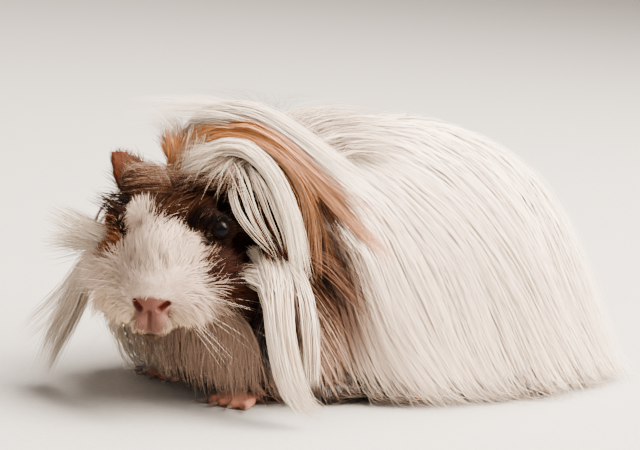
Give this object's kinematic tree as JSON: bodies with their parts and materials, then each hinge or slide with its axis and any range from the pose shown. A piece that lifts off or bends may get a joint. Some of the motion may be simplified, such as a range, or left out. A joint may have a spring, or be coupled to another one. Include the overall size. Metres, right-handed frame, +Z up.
{
  "type": "long-haired guinea pig",
  "caption": "Life-size still model of a crouching long-haired guinea pig, white with brown and ginger patches, head turned to its left.",
  "frame": {"origin": "on the floor under the middle of the whole coat", "axes": "+Z up; +Y runs back along the body to the rump; +X is the animal's own left side; the nose points towards -Y and +X"},
  "size_m": [0.1658, 0.2904, 0.1201],
  "materials": {
    "coat_white": "long silky white hair",
    "coat_brown": "dark brown fur",
    "coat_ginger": "long silky ginger hair",
    "bare_skin": "soft pink skin, slightly moist",
    "ear_skin": "thin brown-pink skin with short down",
    "eye": "wet glossy black",
    "claw": "satin horn"
  },
  "bodies": {
    "root": {"head": "coat_brown", "nose": "bare_skin", "eye_left": "eye", "ear_left": "ear_skin", "eye_right": "eye", "ear_right": "ear_skin", "mantle": "coat_ginger", "lock_left": "coat_white", "lock_right": "coat_white", "neck": "coat_brown", "trunk": "coat_white", "leg_front_left": "bare_skin", "claw_front_left_1": "claw", "claw_front_left_2": "claw", "claw_front_left_3": "claw", "claw_front_left_4": "claw", "leg_front_right": "bare_skin", "claw_front_right_1": "claw", "claw_front_right_2": "claw", "claw_front_right_3": "claw", "claw_front_right_4": "claw", "leg_hind_left": "bare_skin", "claw_hind_left_1": "claw", "claw_hind_left_2": "claw", "claw_hind_left_3": "claw", "leg_hind_right": "bare_skin", "claw_hind_right_1": "claw", "claw_hind_right_2": "claw", "claw_hind_right_3": "claw"}
  },
  "joints": []
}
